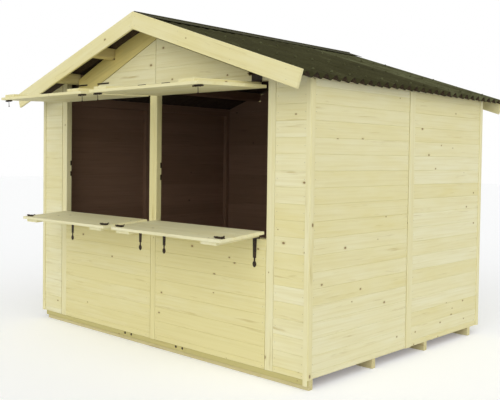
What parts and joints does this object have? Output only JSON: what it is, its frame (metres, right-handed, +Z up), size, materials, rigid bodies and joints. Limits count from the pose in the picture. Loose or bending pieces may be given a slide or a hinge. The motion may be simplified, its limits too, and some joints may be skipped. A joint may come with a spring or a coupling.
{
  "type": "wooden market stall",
  "caption": "Gable-fronted timber market stall of boarded panels on floor bearers, with hinged counter and awning flaps at its hatches and a corrugated sheet roof.",
  "frame": {"origin": "middle of the whole outline, open flaps included, at ground level under the bearers", "axes": "+X to the right along the front, +Y from the front to the back, +Z up"},
  "size_m": [3.182, 3.0957, 2.4911],
  "materials": {
    "planed_spruce": "planed, untreated",
    "rough_timber": "sawn, untreated",
    "roof_sheet": "fibrous bitumen sheet, matt dark green",
    "black_iron": "black coated steel"
  },
  "bodies": {
    "stall": {"floor_bearers": "rough_timber", "floor_deck": "rough_timber", "base_rail": "planed_spruce", "right_wall_front": "planed_spruce", "right_wall_back": "planed_spruce", "left_wall_front": "planed_spruce", "left_wall_back": "planed_spruce", "right_front_panel": "planed_spruce", "left_front_panel": "planed_spruce", "right_counter_panel": "planed_spruce", "left_counter_panel": "planed_spruce", "right_jamb_post": "planed_spruce", "left_jamb_post": "planed_spruce", "mullion_post": "planed_spruce", "sill_rails": "planed_spruce", "lintel": "planed_spruce", "right_front_gable": "planed_spruce", "left_front_gable": "planed_spruce", "right_back_panel": "planed_spruce", "left_back_panel": "planed_spruce", "right_back_gable": "planed_spruce", "left_back_gable": "planed_spruce", "back_post": "planed_spruce", "ridge_purlin": "rough_timber", "side_purlins": "rough_timber", "eave_fillets": "rough_timber", "right_sheet_front": "roof_sheet", "right_sheet_middle": "roof_sheet", "right_sheet_back": "roof_sheet", "left_sheet_front": "roof_sheet", "left_sheet_middle": "roof_sheet", "left_sheet_back": "roof_sheet", "ridge_cap": "roof_sheet", "right_front_barge": "planed_spruce", "left_front_barge": "planed_spruce", "right_back_barge": "planed_spruce", "left_back_barge": "planed_spruce", "counter_straps": "black_iron", "awning_cross_plates": "black_iron"},
    "right_counter": {"right_counter_flap": "planed_spruce", "right_counter_leaves": "black_iron", "right_counter_bolts": "black_iron"},
    "right_awning": {"right_awning_flap": "planed_spruce", "right_awning_straps": "black_iron", "right_awning_bolts": "black_iron"},
    "left_counter": {"left_counter_flap": "planed_spruce", "left_counter_leaves": "black_iron", "left_counter_bolts": "black_iron"},
    "left_awning": {"left_awning_flap": "planed_spruce", "left_awning_straps": "black_iron", "left_awning_bolts": "black_iron"}
  },
  "joints": [
    {"name": "right_counter_hinge", "type": "hinge", "parent": "stall", "child": "right_counter", "pos_m": [0.5935, -0.9472, 0.918], "axis": [-1, 0, 0], "range_deg": [0, 94]},
    {"name": "right_awning_hinge", "type": "hinge", "parent": "stall", "child": "right_awning", "pos_m": [0.5935, -0.9472, 1.934], "axis": [1, 0, 0], "range_deg": [0, 88]},
    {"name": "left_counter_hinge", "type": "hinge", "parent": "stall", "child": "left_counter", "pos_m": [-0.5935, -0.9472, 0.918], "axis": [-1, 0, 0], "range_deg": [0, 94]},
    {"name": "left_awning_hinge", "type": "hinge", "parent": "stall", "child": "left_awning", "pos_m": [-0.5935, -0.9472, 1.934], "axis": [1, 0, 0], "range_deg": [0, 88]}
  ]
}
